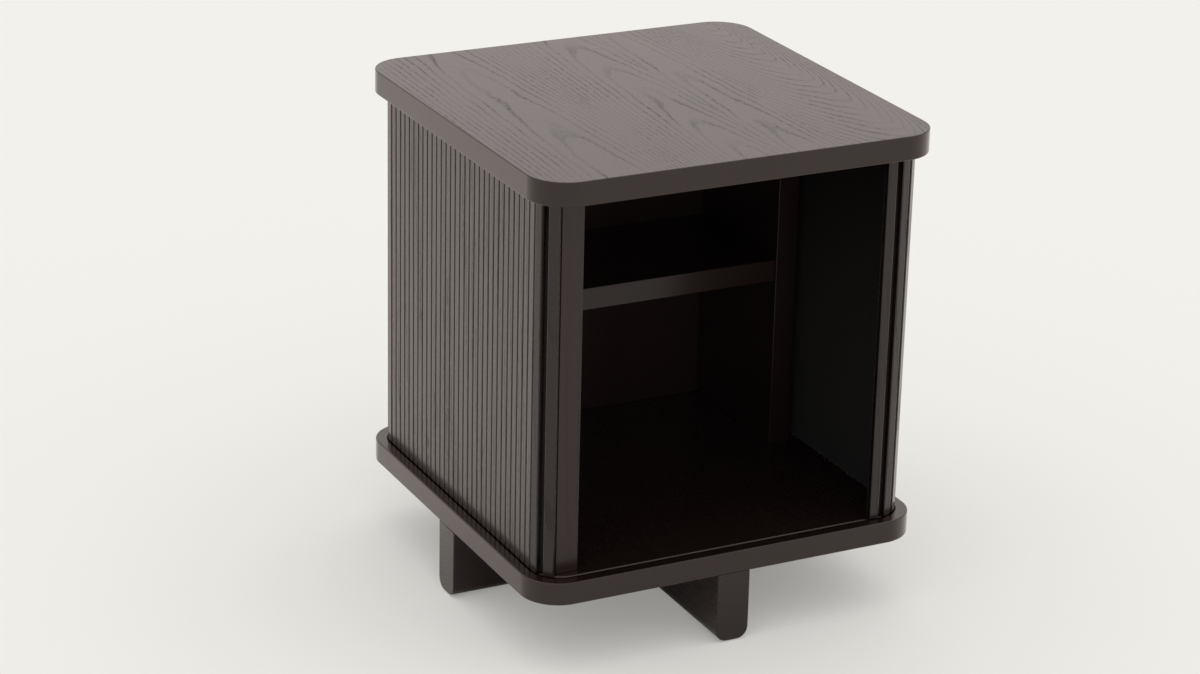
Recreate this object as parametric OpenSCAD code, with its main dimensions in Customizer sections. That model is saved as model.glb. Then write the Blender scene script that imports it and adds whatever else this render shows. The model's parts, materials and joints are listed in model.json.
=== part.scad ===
// Bedside table with two tambour curtains that run in one track round a
// cube-shaped cabinet. The cabinet stands on two boards crossed in a half lap.
// Origin: middle of the footprint, on the floor. X is right, Y is back, Z is up.

/* [Cabinet] */
// Width of the top and base panels, side to side
body_w = 457; // [430:1:500]
// Depth of the top and base panels, front to back
body_d = 457; // [430:1:500]
// Clear height between the base panel and the top panel
inner_h = 406; // [360:1:460]
// Thickness of the top panel
top_t = 26; // [24:0.5:32]
// Thickness of the base panel
base_t = 25; // [24:0.5:32]
// Plan radius of the corners of both panels
corner_r = 42; // [38:1:46]

/* [Track] */
// Distance from a panel's edge to the middle of its track groove
track_inset = 13.5; // [12.5:0.1:14.5]
// Width of the track groove
track_w = 4.6; // [4.4:0.1:5.2]
// Depth of the track groove
track_depth = 7; // [6:0.5:9]
// Plan radius of the middle of the groove round a corner
track_r = 33; // [31:0.5:34]

/* [Curtains] */
// Width of one slat
slat_w = 10.9; // [10.3:0.1:11.2]
// Clear gap between two slats on a straight stretch
slat_gap = 1.1; // [0.9:0.1:1.6]
// Thickness of a slat
slat_t = 4.5; // [4:0.1:5]
// Chamfer along a slat's outer edges
slat_chamfer = 0.8; // [0.4:0.1:1]
// Width of the tongue at each end of a slat
tongue_w = 6; // [5:0.5:7]
// Thickness of the tongue
tongue_t = 2.2; // [1.8:0.1:2.4]
// How far a tongue reaches up into the top groove
tongue_up = 5; // [4:0.5:5.5]
// Clear gap between a slat's shoulder and the panel
shoulder_gap = 0.8; // [0.5:0.1:1.2]
// Width of a leading stile
stile_w = 11.2; // [10.5:0.1:12]
// Thickness of a leading stile
stile_t = 5.8; // [5.2:0.1:6.2]
// Clear gap between a leading stile and its first slat, for the fingers
pull_w = 6.2; // [5.5:0.1:7]
// Thickness of the cloth that joins the slats
cloth_t = 0.5; // [0.4:0.1:0.8]
// Where the left leading stile stands, from the start of the front corner
left_lead = 23; // [20:0.1:24]
// Where the right leading stile stands, from the start of the front corner
right_lead = 53.4; // [51:0.1:54]
// Width of the stop block in each groove at the middle of the back
stop_w = 6; // [4:0.5:8]

/* [Carcase] */
// Thickness of the two side walls
wall_t = 25; // [20:0.5:28]
// Distance from a panel's side or back edge to the walls
wall_inset = 32; // [30:0.5:36]
// Distance from the front edge to the left wall
left_wall_front = 25; // [24:0.5:40]
// Distance from the front edge to the right wall, which is half as deep
right_wall_front = 236.5; // [200:0.5:260]
// Thickness of the back wall
back_t = 16; // [12:0.5:20]
// Thickness of the shelf
shelf_t = 25; // [20:0.5:28]
// Height of the shelf above the base panel
shelf_h = 195; // [150:1:240]
// How far the shelf's front edge lies behind the right wall's
shelf_setback = 2.5; // [0:0.5:20]

/* [Legs] */
// Height of the crossed leg boards
leg_h = 78; // [60:1:110]
// Thickness of the leg boards
leg_t = 38; // [34:1:45]
// Radius along the lower edges of the leg boards
leg_edge_r = 13; // [6:0.5:13]
// How far the glides stand out below the leg boards
glide_stand = 1; // [0.5:0.1:3]

/* [Fixings] */
// Radius of the wall dowels
dowel_r = 4; // [3:0.5:5]
// How far a dowel reaches into a wall or a leg
dowel_deep = 18; // [12:1:22]
// How far a dowel reaches into a panel
dowel_shallow = 12; // [8:1:13]
// Radius of the shelf pins
pin_r = 2.5; // [2:0.5:3]
// How far a shelf pin reaches into its wall
pin_deep = 9; // [7:1:12]
// How far a shelf pin stands out under the shelf
pin_out = 8; // [6:1:12]
// Distance from a leg board's end to its dowels
leg_dowel_in = 48.5; // [40:0.5:60]
// Radius of the leg screws
screw_r = 2.5; // [2:0.5:3]
// Distance from a leg board's end to its screws
screw_in = 108.5; // [90:0.5:130]
// How far a leg screw reaches into the base panel
screw_bite = 18; // [12:1:20]
// Radius of a leg screw's head
screw_head_r = 4.5; // [4:0.5:5]
// Depth at which a leg screw's head sits above the board's lower edge
screw_seat = 40; // [20:1:50]
// Radius of a glide
glide_r = 4.5; // [3.5:0.5:5]
// Distance from a leg board's end to its glide
glide_in = 30; // [20:1:40]

/* [Hidden] */
$fn = 96;

// Colours: black-stained ash, its darker inside faces, cloth and metal.
ash = "#3a3431";
ash_slat = "#474039";
ash_inside = "#25211f";
cloth_black = "#141313";
beech = "#c9a877";
steel = "#9a9a98";
nylon = "#1c1c1c";

// Clearances.
bore_clear = 0.1;
dowel_end_clear = 0.5;
lap_clear = 0.1;
shelf_clear = 0.2;
pin_clear = 0.03;
cloth_gap = 0.1;
stop_clear = 0.1;
tongue_clear = 0.2;
tail_clear = 2;
cut = 1;

// Heights.
base_z = glide_stand + leg_h;
deck_z = base_z + base_t;
head_z = deck_z + inner_h;
shelf_z = deck_z + shelf_h;

// Plan positions of the cabinet.
left_x = -body_w / 2;
front_y = -body_d / 2;
back_y = body_d / 2;
wall_x = left_x + wall_inset;
room_x = wall_x + wall_t;
wall_back_y = back_y - wall_inset;
room_back_y = wall_back_y - back_t;
left_wall_y = front_y + left_wall_front;
right_wall_y = front_y + right_wall_front;
shelf_y = right_wall_y + shelf_setback;

// The curtain's path, measured along the cloth line behind the slats. It is 0
// where the side meets the front corner and grows towards the front.
track_centre = track_inset + track_r;
cloth_inset = track_inset - tongue_t / 2 + slat_t;
cloth_r = track_centre - cloth_inset;
corner_len = cloth_r * PI / 2;
side_len = body_d - 2 * track_centre;
back_len = body_w - 2 * track_centre;
slat_pitch = slat_w + slat_gap;
front_centre = [left_x + track_centre, front_y + track_centre];
rear_centre = [left_x + track_centre, back_y - track_centre];

// Slats that stand in or near each corner have their own nodes.
left_front_count = 3;
right_front_count = 5;
rear_count = 6;

// Path position of slat k, counted back from the leading stile.
function slat_s(lead, k) =
  lead - stile_w / 2 - pull_w - slat_w / 2 - slat_pitch * (k - 1);

// Last slat of the straight side stretch, and of the back stretch.
function last_side(lead) =
  floor((slat_s(lead, 1) + side_len - tongue_w / 2) / slat_pitch) + 1;
function tail_s() =
  -side_len - corner_len - back_len / 2 + slat_w / 2 + stop_w / 2 + tail_clear;
function last_back(lead) =
  floor((slat_s(lead, 1) - tail_s()) / slat_pitch) + 1;

// Moves a piece drawn on the left side's cloth line to path position s.
module place(s) {
  u = s + side_len;
  if (s > corner_len)
    translate([front_centre.x + s - corner_len, front_centre.y - cloth_r, 0])
      rotate(90) children();
  else if (s >= 0)
    translate([front_centre.x, front_centre.y, 0])
      rotate(s / cloth_r * 180 / PI)
        translate([-cloth_r, 0, 0]) children();
  else if (u >= 0)
    translate([front_centre.x - cloth_r, front_centre.y - s, 0]) children();
  else if (u >= -corner_len)
    translate([rear_centre.x, rear_centre.y, 0])
      rotate(u / cloth_r * 180 / PI)
        translate([-cloth_r, 0, 0]) children();
  else
    translate([rear_centre.x - u - corner_len, rear_centre.y + cloth_r, 0])
      rotate(-90) children();
}

// A bar with its inner face on the line x = 0 and two chamfered outer edges.
module chamfered_bar(w, t, c) {
  polygon([
    [0, -w / 2], [0, w / 2], [c - t, w / 2],
    [-t, w / 2 - c], [-t, c - w / 2], [c - t, -w / 2]
  ]);
}

// The tongues of one slat, joined through it. The lower one rests in its
// groove and carries the slat, and the upper one only guides it.
module tongues() {
  tongue_z = deck_z - track_depth + tongue_clear;
  translate([-slat_t, -tongue_w / 2, tongue_z])
    cube([tongue_t, tongue_w, head_z + tongue_up - tongue_z]);
}

module slat() {
  translate([0, 0, deck_z + shoulder_gap])
    linear_extrude(inner_h - 2 * shoulder_gap)
      chamfered_bar(slat_w, slat_t, slat_chamfer);
  tongues();
}

// A thicker bar than a slat. The wide gap behind it takes the fingers.
module lead_stile() {
  translate([0, 0, deck_z + shoulder_gap])
    linear_extrude(inner_h - 2 * shoulder_gap)
      chamfered_bar(stile_w, stile_t, slat_chamfer);
  tongues();
}

module slats(lead, first, last) {
  for (k = [first : last])
    place(slat_s(lead, k)) slat();
}

// One quarter turn or less of cloth about a corner's centre.
module cloth_arc(centre, start, turn) {
  translate([centre.x, centre.y, deck_z + shoulder_gap])
    rotate(start)
      rotate_extrude(angle = turn)
        translate([cloth_r - cloth_gap - cloth_t, 0])
          square([cloth_t, inner_h - 2 * shoulder_gap]);
}

module cloth_run(x, y, w, d) {
  translate([x, y, deck_z + shoulder_gap])
    cube([w, d, inner_h - 2 * shoulder_gap]);
}

// The cloth behind a whole curtain, drawn for the left one.
module cloth(lead) {
  last_s = slat_s(lead, last_back(lead)) - slat_w / 2;
  lead_s = lead + stile_w / 2;
  tail_len = -side_len - corner_len - last_s;
  front_x = left_x + cloth_inset + cloth_gap;
  rear_y = back_y - cloth_inset - cloth_gap - cloth_t;
  turn = min(lead_s, corner_len) / cloth_r * 180 / PI;
  cloth_run(rear_centre.x, rear_y, tail_len, cloth_t);
  cloth_arc(rear_centre, 90, 90);
  cloth_run(front_x, front_centre.y, cloth_t, side_len);
  cloth_arc(front_centre, 180, turn);
  if (lead_s > corner_len)
    cloth_run(
      front_centre.x, front_y + cloth_inset + cloth_gap,
      lead_s - corner_len, cloth_t
    );
}

// A rounded rectangle in plan, inset by the same amount on every side.
module outline(inset, r) {
  w = body_w - 2 * inset;
  d = body_d - 2 * inset;
  square([w - 2 * r, d], center = true);
  square([w, d - 2 * r], center = true);
  for (x = [r - w / 2, w / 2 - r], y = [r - d / 2, d / 2 - r])
    translate([x, y]) circle(r);
}

// The track groove, as the solid that is cut away.
module groove() {
  linear_extrude(track_depth + cut)
    difference() {
      outline(track_inset - track_w / 2, track_r + track_w / 2);
      outline(track_inset + track_w / 2, track_r - track_w / 2);
    }
}

// Where dowels join the walls to the panels.
dowel_end = 40;
wall_mid_x = wall_x + wall_t / 2;
back_mid_y = wall_back_y - back_t / 2;
left_wall_mid_y = (left_wall_y + wall_back_y) / 2;
dowel_spots = [
  [wall_mid_x, left_wall_y + dowel_end],
  [wall_mid_x, left_wall_mid_y],
  [wall_mid_x, wall_back_y - dowel_end],
  [-wall_mid_x, right_wall_y + dowel_end],
  [-wall_mid_x, wall_back_y - dowel_end],
  [room_x + dowel_end, back_mid_y],
  [-room_x - dowel_end, back_mid_y]
];

// Dowels that stand across the plane z, with the given reach on each side.
module dowels(spots, z, below, above, grow, ends) {
  for (spot = spots)
    translate([spot.x, spot.y, z - below - ends])
      cylinder(r = dowel_r + grow, h = below + above + 2 * ends);
}

module base_dowel_row(grow = 0, ends = 0) {
  dowels(dowel_spots, deck_z, dowel_shallow, dowel_deep, grow, ends);
}

module top_dowel_row(grow = 0, ends = 0) {
  dowels(dowel_spots, head_z, dowel_deep, dowel_shallow, grow, ends);
}

// Repeats a fixing near the ends of both leg boards, set in from each end.
module on_arms(in) {
  for (side = [-1, 1]) {
    translate([side * (body_w / 2 - in), 0, 0]) children();
    translate([0, side * (body_d / 2 - in), 0]) children();
  }
}

module leg_dowel_row(grow = 0, ends = 0) {
  on_arms(leg_dowel_in)
    dowels([[0, 0]], base_z, dowel_deep, dowel_shallow, grow, ends);
}

// A leg screw: head in a deep counterbore, shank up into the base panel.
screw_head_h = 3.5;
socket_r = 2.2;
socket_deep = 2;

module leg_screw() {
  translate([0, 0, glide_stand + screw_seat])
    difference() {
      union() {
        translate([0, 0, -screw_head_h]) cylinder(r = screw_head_r, h = screw_head_h);
        cylinder(r = screw_r, h = leg_h - screw_seat + screw_bite);
      }
      translate([0, 0, -screw_head_h - cut])
        cylinder(r = socket_r, h = socket_deep + cut, $fn = 6);
    }
}

module leg_screw_bore() {
  head_clear = 4 * bore_clear;
  translate([0, 0, glide_stand - cut])
    cylinder(r = screw_head_r + head_clear, h = screw_seat + cut);
  cylinder(r = screw_r + bore_clear, h = base_z + screw_bite + dowel_end_clear);
}

// Glides pressed into the underside near the end of each arm.
glide_deep = 4;

module glide_row(grow = 0, low = 0) {
  on_arms(glide_in)
    translate([0, 0, low])
      cylinder(r = glide_r + grow, h = glide_stand + glide_deep - low);
}

// End shape of a leg board, lower edges rounded.
module leg_profile() {
  translate([-leg_t / 2, leg_edge_r]) square([leg_t, leg_h - leg_edge_r]);
  translate([leg_edge_r - leg_t / 2, 0]) square([leg_t - 2 * leg_edge_r, leg_h]);
  for (x = [leg_edge_r - leg_t / 2, leg_t / 2 - leg_edge_r])
    translate([x, leg_edge_r]) circle(leg_edge_r);
}

module leg_board(len) {
  translate([0, 0, glide_stand])
    rotate([90, 0, 0])
      linear_extrude(len, center = true) leg_profile();
}

// The half lap: what each board gives up where the two cross.
module lap(z) {
  side = leg_t + 2 * lap_clear;
  translate([-side / 2, -side / 2, z]) cube([side, side, leg_h]);
}

// Shelf pins: two in each side wall, just under the shelf.
pin_from_edge = 30;
pin_y = [shelf_y + pin_from_edge, room_back_y - pin_from_edge];

module shelf_pin_row(grow = 0, ends = 0, out = pin_out) {
  for (y = pin_y, flip = [0, 1])
    mirror([flip, 0, 0])
      translate([room_x - pin_deep - ends, y, shelf_z - pin_r - pin_clear])
        rotate([0, 90, 0])
          cylinder(r = pin_r + grow, h = pin_deep + out + ends);
}

module top_panel() {
  color(ash)
    difference() {
      translate([0, 0, head_z]) linear_extrude(top_t) outline(0, corner_r);
      translate([0, 0, head_z - cut]) groove();
      top_dowel_row(bore_clear, dowel_end_clear);
    }
}

module base_panel() {
  color(ash)
    difference() {
      translate([0, 0, base_z]) linear_extrude(base_t) outline(0, corner_r);
      translate([0, 0, deck_z - track_depth]) groove();
      base_dowel_row(bore_clear, dowel_end_clear);
      leg_dowel_row(bore_clear, dowel_end_clear);
      on_arms(screw_in) leg_screw_bore();
    }
}

// A wall board with its dowel and shelf-pin bores.
module wall(x, y, w, d) {
  difference() {
    translate([x, y, deck_z]) cube([w, d, inner_h]);
    base_dowel_row(bore_clear, dowel_end_clear);
    top_dowel_row(bore_clear, dowel_end_clear);
    shelf_pin_row(bore_clear, dowel_end_clear);
  }
}

module left_wall() {
  color(ash_inside) wall(wall_x, left_wall_y, wall_t, wall_back_y - left_wall_y);
}

module right_wall() {
  color(ash_inside) wall(-room_x, right_wall_y, wall_t, wall_back_y - right_wall_y);
}

module back_wall() {
  color(ash_inside) wall(room_x, room_back_y, -2 * room_x, back_t);
}

module shelf() {
  w = -2 * (room_x + shelf_clear);
  color(ash_inside)
    translate([room_x + shelf_clear, shelf_y, shelf_z])
      cube([w, room_back_y - shelf_clear - shelf_y, shelf_t]);
}

module shelf_pins() {
  color(steel) shelf_pin_row();
}

module top_dowels() {
  color(beech) top_dowel_row();
}

module base_dowels() {
  color(beech) base_dowel_row();
}

module leg_board_side_to_side() {
  color(ash)
    difference() {
      rotate(90) leg_board(body_w);
      lap(glide_stand + leg_h / 2);
      leg_dowel_row(bore_clear, dowel_end_clear);
      on_arms(screw_in) leg_screw_bore();
      glide_row(bore_clear, -cut);
    }
}

module leg_board_front_to_back() {
  color(ash)
    difference() {
      leg_board(body_d);
      lap(glide_stand - leg_h / 2);
      leg_dowel_row(bore_clear, dowel_end_clear);
      on_arms(screw_in) leg_screw_bore();
      glide_row(bore_clear, -cut);
    }
}

module leg_screws() {
  color(steel) on_arms(screw_in) leg_screw();
}

module leg_dowels() {
  color(beech) leg_dowel_row();
}

module glides() {
  color(nylon) glide_row();
}

// Blocks in both grooves at the middle of the back: each curtain ends there.
module track_stops() {
  depth = track_w - 2 * stop_clear;
  y = back_y - track_inset - depth / 2;
  color(beech) {
    translate([-stop_w / 2, y, deck_z - track_depth])
      cube([stop_w, depth, track_depth]);
    translate([-stop_w / 2, y, head_z])
      cube([stop_w, depth, track_depth]);
  }
}

// Stretches of the two curtains. The right one is the left one mirrored, with
// its own place along the track.
module left_slats(first, last) {
  color(ash_slat) slats(left_lead, first, last);
}

module right_slats(first, last) {
  color(ash_slat) mirror([1, 0, 0]) slats(right_lead, first, last);
}

module left_front_slat(k) {
  left_slats(k, k);
}

module right_front_slat(k) {
  right_slats(k, k);
}

module left_rear_slat(k) {
  left_slats(last_side(left_lead) + k, last_side(left_lead) + k);
}

module right_rear_slat(k) {
  right_slats(last_side(right_lead) + k, last_side(right_lead) + k);
}

module left_lead_stile() {
  color(ash_slat) place(left_lead) lead_stile();
}

module left_side_slats() {
  left_slats(left_front_count + 1, last_side(left_lead));
}

module left_back_slats() {
  left_slats(last_side(left_lead) + rear_count + 1, last_back(left_lead));
}

module left_cloth() {
  color(cloth_black) cloth(left_lead);
}

module right_lead_stile() {
  color(ash_slat) mirror([1, 0, 0]) place(right_lead) lead_stile();
}

module right_side_slats() {
  right_slats(right_front_count + 1, last_side(right_lead));
}

module right_back_slats() {
  right_slats(last_side(right_lead) + rear_count + 1, last_back(right_lead));
}

module right_cloth() {
  color(cloth_black) mirror([1, 0, 0]) cloth(right_lead);
}

top_panel();
base_panel();
left_wall();
right_wall();
back_wall();
shelf();
shelf_pins();
top_dowels();
base_dowels();
leg_board_side_to_side();
leg_board_front_to_back();
leg_screws();
leg_dowels();
glides();
track_stops();
left_lead_stile();
left_front_slat(1);  // left_front_slat_1
left_front_slat(2);  // left_front_slat_2
left_front_slat(3);  // left_front_slat_3
left_side_slats();
left_rear_slat(1);  // left_rear_slat_1
left_rear_slat(2);  // left_rear_slat_2
left_rear_slat(3);  // left_rear_slat_3
left_rear_slat(4);  // left_rear_slat_4
left_rear_slat(5);  // left_rear_slat_5
left_rear_slat(6);  // left_rear_slat_6
left_back_slats();
left_cloth();
right_lead_stile();
right_front_slat(1);  // right_front_slat_1
right_front_slat(2);  // right_front_slat_2
right_front_slat(3);  // right_front_slat_3
right_front_slat(4);  // right_front_slat_4
right_front_slat(5);  // right_front_slat_5
right_side_slats();
right_rear_slat(1);  // right_rear_slat_1
right_rear_slat(2);  // right_rear_slat_2
right_rear_slat(3);  // right_rear_slat_3
right_rear_slat(4);  // right_rear_slat_4
right_rear_slat(5);  // right_rear_slat_5
right_rear_slat(6);  // right_rear_slat_6
right_back_slats();
right_cloth();
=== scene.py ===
"""Looks of a bedside table with two tambour curtains, in black-stained ash.

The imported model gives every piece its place. This script gives the boards and
slats their softened edges, the curtains their backing cloth, every surface its
finish, and the whole a plain studio with the camera at the photograph's angle.
"""
import json
import math
import random

import bmesh
import bpy
from bpy.props import (
    FloatProperty,
    FloatVectorProperty,
    PointerProperty,
    StringProperty,
)
from mathutils import Matrix, Quaternion, Vector


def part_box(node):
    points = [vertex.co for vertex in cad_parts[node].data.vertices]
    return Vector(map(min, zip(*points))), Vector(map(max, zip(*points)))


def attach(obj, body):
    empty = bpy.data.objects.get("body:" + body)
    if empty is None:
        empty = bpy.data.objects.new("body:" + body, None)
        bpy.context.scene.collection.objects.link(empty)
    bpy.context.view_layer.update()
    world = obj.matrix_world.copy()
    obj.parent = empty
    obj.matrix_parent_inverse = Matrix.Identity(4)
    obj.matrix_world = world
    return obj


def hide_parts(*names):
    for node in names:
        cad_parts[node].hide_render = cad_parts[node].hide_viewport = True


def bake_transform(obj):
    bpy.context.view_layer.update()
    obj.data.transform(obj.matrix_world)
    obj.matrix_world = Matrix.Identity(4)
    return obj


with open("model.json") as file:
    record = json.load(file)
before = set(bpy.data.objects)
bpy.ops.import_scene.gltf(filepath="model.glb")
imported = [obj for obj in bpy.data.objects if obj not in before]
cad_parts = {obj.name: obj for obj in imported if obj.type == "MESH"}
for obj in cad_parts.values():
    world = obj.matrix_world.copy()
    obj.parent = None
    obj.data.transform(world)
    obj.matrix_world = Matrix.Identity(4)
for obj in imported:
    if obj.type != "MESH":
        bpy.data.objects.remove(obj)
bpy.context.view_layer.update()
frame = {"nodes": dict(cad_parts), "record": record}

bl_info = {
    "name": "Bedside table with tambour curtains",
    "version": (1, 0, 0),
    "blender": (4, 5, 0),
    "location": "3D View > Sidebar > Bedside table",
    "description": "Dresses the bedside table's frame: boards, curtains, cloth, fixings and studio",
    "category": "Object",
}

MM = 0.001
CABINET = "cabinet"

# How many flat pieces a rounded corner is made of, on the panels, the grooves and the cloths.
CORNER_SEGMENTS = 24

# A piece's tone and its place in the grain come from chance. Each group of pieces starts from
# its own number here, so that they come out the same in each run.
PANEL_SEED = 8
LEG_SEED = 11
CARCASE_SEED = 20
CURTAIN_SEED = 40
CLOTH_SEED = 1


# ---------------------------------------------------------------- properties


def length(name, description, millimetres):
    """A size in metres whose default is given in millimetres."""
    return FloatProperty(
        name=name,
        description=description,
        default=millimetres * MM,
        min=0,
        subtype="DISTANCE",
        unit="LENGTH",
    )


def angle(name, description, degrees):
    """An angle in radians whose default is given in degrees."""
    return FloatProperty(
        name=name,
        description=description,
        default=math.radians(degrees),
        subtype="ANGLE",
        unit="ROTATION",
    )


def strength(name, description, default):
    """How strong a light is. A surface under a strength of 1 renders about as it is written."""
    return FloatProperty(name=name, description=description, default=default, min=0)


def stain(name, description, default):
    """A colour, kept as the sRGB hex value that it is written with."""
    return StringProperty(name=name, description=description, default=default)


class PanelSizes(bpy.types.PropertyGroup):
    """Sizes of the top and base panels and of the track groove in each."""

    corner_radius: length("Corner radius", "Plan radius of a panel's corners", 42)
    edge_radius: length("Edge radius", "Rounding along a panel's top and bottom edges", 1.3)
    groove_inset: length("Groove inset", "From a panel's edge to the groove's outer wall", 11.2)
    groove_width: length("Groove width", "Width of the track groove", 4.6)
    groove_depth: length("Groove depth", "Depth of the track groove", 7)
    groove_radius: length("Groove radius", "Plan radius of the groove's outer wall", 35.3)
    groove_break: length("Groove edge", "Rounding along the groove's outer edge", 0.45)
    deck_edge: length("Deck edge", "Rounding along the groove's inner edge", 2)


class BoardSizes(bpy.types.PropertyGroup):
    """How far the edges of boards and slats are softened."""

    wall_edge: length("Wall edge", "Rounding along the edges of walls and shelf", 0.8)
    leg_edge: length("Leg edge", "Rounding along the edges of the leg boards", 1.2)
    slat_edge: length("Slat edge", "Rounding along the edges of slats and stiles", 0.6)


class ClothSizes(bpy.types.PropertyGroup):
    """Sizes of the cloth behind the slats, which leaves them room to turn into a corner."""

    thickness: length("Thickness", "Thickness of the cloth", 0.5)
    corner_radius: length("Corner radius", "Radius of the cloth's outer face in a corner", 28.6)
    corner_centre: length("Corner centre", "From a panel's edges to the centre of a corner", 46.5)
    line_radius: length("Line radius", "Radius of the slats' inner faces in a corner", 29.6)
    left_reach: length("Left reach", "The left cloth's length past the front corner's start", 28.6)
    right_reach: length("Right reach", "The right cloth's length past the front corner's start", 59)


class Stains(bpy.types.PropertyGroup):
    """Colours of the finishes, as sRGB hex values."""

    ash: stain("Ash", "Stained face wood of panels and legs", "#1a1413")
    ash_pore: stain("Ash pores", "Open pores of the face wood", "#0a0707")
    slat: stain("Slats", "Stained face wood of the slats", "#15110f")
    # The inside stain and its pores are darker than the face wood's: stained wood, with painted shade
    # of the cabinet's inside.
    inside: stain("Inside", "Stained wood inside the cabinet", "#1a1110")
    inside_pore: stain("Inside pores", "Pores of the wood inside", "#060505")
    cloth: stain("Cloth", "Cotton duck behind the slats", "#171210")
    beech: stain("Beech", "Dowels and track stops", "#c2a178")
    floor: stain("Floor", "Studio floor", "#eae9e5")


class StudioSettings(bpy.types.PropertyGroup):
    """Camera and light."""

    azimuth: angle("Azimuth", "Camera's turn away from the front view", 26.909)
    elevation: angle("Elevation", "How far the camera looks down", 21.296)
    roll: angle("Roll", "Camera's turn about its own view line", 1.356)
    place: FloatVectorProperty(
        name="Place",
        description="Where the camera stands",
        default=(-1.5722, -3.0021, 1.5824),
        subtype="TRANSLATION",
        unit="LENGTH",
    )
    lens: FloatProperty(
        name="Lens",
        description="Focal length in millimetres on a 36 mm sensor",
        default=100.52,
        min=10,
    )
    sky_front: strength("Front", "Strength of the light from the camera's side", 0.9)
    sky_back: strength("Back", "Strength of the light from behind the table", 0.82)
    sky_top: strength("Top", "Strength of the light from above", 1.3)
    floor_glow: FloatProperty(
        name="Floor glow",
        description="Share of the floor's brightness that is its own",
        default=0.3,
        min=0,
        max=1,
        subtype="FACTOR",
    )
    overhead: FloatProperty(
        name="Overhead",
        description="Power of the overhead softbox in watts",
        default=3,
        min=0,
    )


# ---------------------------------------------------------------- materials


def linear(hex_colour):
    """Linear RGBA of an sRGB hex value such as #2f2b29."""
    channels = [int(hex_colour[i:i + 2], 16) / 255 for i in (1, 3, 5)]
    curve = [c / 12.92 if c <= 0.04045 else ((c + 0.055) / 1.055) ** 2.4 for c in channels]
    return (*curve, 1.0)


def add(tree, kind, inputs=None, **settings):
    """Adds a shader node. Each input takes a constant, an output, or a node for its first output."""
    made = tree.nodes.new(kind)
    for name, value in settings.items():
        setattr(made, name, value)
    for socket, value in (inputs or {}).items():
        if isinstance(value, bpy.types.Node):
            value = value.outputs[0]
        if isinstance(value, bpy.types.NodeSocket):
            tree.links.new(value, made.inputs[socket])
        else:
            made.inputs[socket].default_value = value
    return made


def new_material(name):
    """A material with no nodes yet, and its node tree."""
    made = bpy.data.materials.new(name)
    made.use_nodes = True
    made.node_tree.nodes.clear()
    return made, made.node_tree


# Turns that bring the grain of a piece onto the pattern's own Y axis.
GRAIN_TURNS = {
    "X": (0.0, 0.0, math.pi / 2),
    "Y": (0.0, 0.0, 0.0),
    "Z": (-math.pi / 2, 0.0, 0.0),
}

# Leaves of wood side by side. For each: where it starts across the grain, where the log's heart
# lies across the grain, how deep under the face, how much deeper for each millimetre along the
# grain, and how much narrower the arches are on their right side. Lengths are in millimetres.
PLAIN_LEAF = ((-9000, 0, 160, 0.012, 1.0),)
SLAT_LEAF = ((-9000, 0, 34, 0.035, 1.0),)
TOP_LEAVES = (
    (-9000, -136, 68, 0.026, 1.25),
    (-66, 9, 46, 0.052, 1.1),
    (42, 71, 30, 0.030, 1.0),
    (104, 188, 58, -0.19, 1.9),
)

# A colour ramp carries a leaf's numbers to the shader. It holds 0 to 1, and these scales bring
# the numbers there. Those that can be below zero, the heart's place and the slope, start from
# the ramp's middle.
LEAF_SPAN = (-400.0, 400.0)
HEART_SCALE = 1000.0
DEPTH_SCALE = 200.0
SQUEEZE_SCALE = 4.0
RAMP_MIDDLE = 0.5

# Sizes of the patterns in the wood, in millimetres across and along the grain. Pores are 0.3 mm
# wide in the wood. They are drawn 0.9 mm wide, so that they show.
PORE_SIZE = (0.9, 9)
WAVER_SIZE = (14, 45)
CLOUD_SIZE = (28, 110)
DRIFT_SIZE = (60, 130)

# How far the drift and the waver carry a growth ring, and over what width an arch goes from its
# left side's shape to its right side's, in millimetres.
DRIFT_REACH = 6.0
WAVER_REACH = 2.2
ARCH_TIP = 12.0

# A ring starts with its wide spring pores. They set in over the first share of the ring's width
# and fade out between the other two.
SPRING_START = 0.06
SPRING_FADE = (0.10, 0.38)

# How far a pore takes its own colour, how much rougher and how deep it is, and how far the
# stain's tone and the lacquer's roughness wander over a board.
PORE_DARKENING = 0.85
PORE_ROUGHENING = 0.35
PORE_DEPTH = 0.08 * MM
STAIN_WANDER = 0.18
GLOSS_WANDER = 0.04

# A solid's chance value is multiplied by this, and what lies past the point gives its tone, so
# that its tone doesn't follow its place in the grain.
TONE_SPREAD = 7.3

# Lacquer has an IOR of about 1.5. The photograph shows a fainter gloss with a warm tint, and
# these numbers for the wood and for the lacquer over it match that.
WOOD_IOR, WOOD_TINT = 1.34, "#fff1ee"
LACQUER_IOR, LACQUER_TINT, LACQUER_ROUGHNESS = 1.34, "#ffefeb", 0.2


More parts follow.
